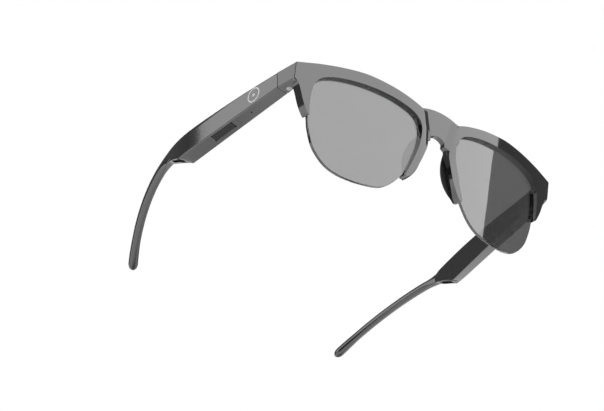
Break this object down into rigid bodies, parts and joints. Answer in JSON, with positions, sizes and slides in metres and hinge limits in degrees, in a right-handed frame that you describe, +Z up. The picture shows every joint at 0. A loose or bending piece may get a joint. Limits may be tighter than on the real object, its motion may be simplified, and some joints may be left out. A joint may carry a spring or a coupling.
{
  "type": "audio sunglasses",
  "caption": "Half-rim sunglasses with folding hollow temples that hold open-ear speakers, radio, battery and a push key",
  "frame": {"origin": "centre of the footprint, on the table the open glasses stand on (lens bottoms and ear tips at z = 0)", "axes": "+Z up, the front faces -Y, +X is the wearer's left"},
  "size_m": [0.1626, 0.1483, 0.053],
  "materials": {
    "gloss_black": "polished",
    "tinted_lens": "polished, grey tint",
    "soft_pad": "satin",
    "steel": "fine brushed",
    "cell_wrap": "foil wrap",
    "board_green": "solder mask",
    "shield_can": "satin",
    "copper": "copper foil",
    "speaker_black": "matt",
    "foam": "foam",
    "mesh_black": "satin",
    "contact_gold": "gold plated",
    "nickel": "nickel plated",
    "mark_white": "printed inlay",
    "switch_grey": "matt",
    "key_black": "satin"
  },
  "bodies": {
    "front": {"front_frame": "gloss_black", "lens_right": "tinted_lens", "lens_left": "tinted_lens", "nose_pad_right": "soft_pad", "nose_pad_left": "soft_pad", "hinge_base_right": "steel", "hinge_base_left": "steel", "hinge_base_screws": "steel", "hinge_pins": "steel"},
    "temple_right": {"temple_shell_right": "gloss_black", "temple_cover_right": "gloss_black", "hinge_leaf_right": "steel", "leaf_screws_right": "steel", "hook_core_right": "steel", "battery_right": "cell_wrap", "circuit_board_right": "board_green", "radio_module_right": "shield_can", "antenna_right": "copper", "speaker_right": "speaker_black", "speaker_gasket_right": "foam", "speaker_mesh_right": "mesh_black", "microphone_right": "contact_gold", "charge_contacts_right": "contact_gold", "charge_magnets_right": "nickel", "touch_sensor": "copper", "touch_mark": "mark_white", "key_switch": "switch_grey"},
    "temple_left": {"temple_shell_left": "gloss_black", "temple_cover_left": "gloss_black", "hinge_leaf_left": "steel", "leaf_screws_left": "steel", "hook_core_left": "steel", "battery_left": "cell_wrap", "circuit_board_left": "board_green", "radio_module_left": "shield_can", "antenna_left": "copper", "speaker_left": "speaker_black", "speaker_gasket_left": "foam", "speaker_mesh_left": "mesh_black", "microphone_left": "contact_gold", "charge_contacts_left": "contact_gold", "charge_magnets_left": "nickel"},
    "key": {"push_key": "key_black"}
  },
  "joints": [
    {"name": "right_temple_fold", "type": "hinge", "parent": "front", "child": "temple_right", "pos_m": [-0.071, -0.05569, 0.04253], "axis": [0, -0.1736, -0.9848], "range_deg": [0, 85]},
    {"name": "left_temple_fold", "type": "hinge", "parent": "front", "child": "temple_left", "pos_m": [0.071, -0.05569, 0.04253], "axis": [0, 0.1736, 0.9848], "range_deg": [0, 68]},
    {"name": "push_key_press", "type": "slide", "parent": "temple_right", "child": "key", "axis": [0, 0.1736, 0.9848], "range_m": [0, 0.0004], "stiffness_N_per_m": 1000, "springref_m": -0.0008}
  ]
}
